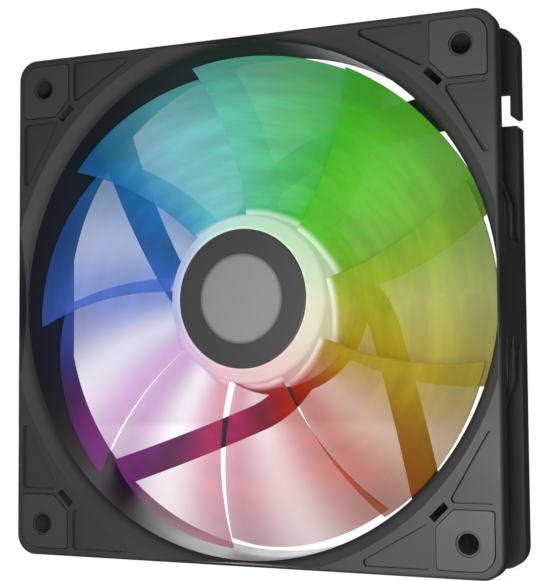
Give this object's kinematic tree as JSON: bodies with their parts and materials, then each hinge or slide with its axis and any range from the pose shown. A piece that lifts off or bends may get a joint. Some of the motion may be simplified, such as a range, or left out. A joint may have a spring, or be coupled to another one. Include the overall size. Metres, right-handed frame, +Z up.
{
  "type": "case fan",
  "caption": "Square axial cooling fan for a computer case: open moulded frame with corner screw holes and struts, and a translucent lit rotor with swept blades.",
  "frame": {"origin": "centre of the fan's bounding box, on the rotor's axis, midway between the front and rear corner pads", "axes": "+Z up, +Y along the rotor's axis towards the exhaust side with the struts, +X to the right seen from the intake side"},
  "size_m": [0.12, 0.025, 0.12],
  "materials": {
    "frame_plastic": "fine moulded texture, dark grey",
    "pad_rubber": "soft, dark grey",
    "label_film": "satin film, blank",
    "brass": "turned",
    "bearing_bronze": "sintered, oiled",
    "seal_rubber": "plain",
    "wear_plastic": "natural nylon",
    "core_steel": "stacked laminations",
    "bobbin_plastic": "plain",
    "copper_wire": "enamelled copper wire",
    "solder_metal": "tinned",
    "board_laminate": "white solder mask",
    "chip_resin": "black resin",
    "led_lens": "clear lens over phosphor",
    "capacitor_ceramic": "ceramic",
    "rotor_plastic": "frosted translucent white",
    "cap_plastic": "satin, dark grey",
    "badge_metal": "turned rings, satin grey",
    "yoke_steel": "zinc plated",
    "ferrite": "plastic-bonded ferrite",
    "shaft_steel": "ground and polished"
  },
  "bodies": {
    "stator": {"frame": "frame_plastic", "front_pads": "pad_rubber", "rear_pads": "pad_rubber", "rear_label": "label_film", "bearing_tube": "brass", "sleeve_bearing": "bearing_bronze", "oil_seal": "seal_rubber", "thrust_plate": "wear_plastic", "stator_core": "core_steel", "insulator_front": "bobbin_plastic", "insulator_rear": "bobbin_plastic", "coils": "copper_wire", "winding_pins": "solder_metal", "circuit_board": "board_laminate", "driver_chip": "chip_resin", "hall_sensor": "chip_resin", "leds": "led_lens", "capacitors": "capacitor_ceramic", "resistors": "chip_resin"},
    "rotor": {"impeller": "rotor_plastic", "hub_cap": "cap_plastic", "hub_badge": "badge_metal", "yoke": "yoke_steel", "magnet_ring": "ferrite", "shaft": "shaft_steel", "shaft_bush": "brass", "oil_slinger": "wear_plastic", "retaining_ring": "wear_plastic"}
  },
  "joints": [
    {"name": "rotor_spin", "type": "hinge", "parent": "stator", "child": "rotor", "pos_m": [0, 0, 0], "axis": [0, 1, 0], "continuous": true}
  ]
}
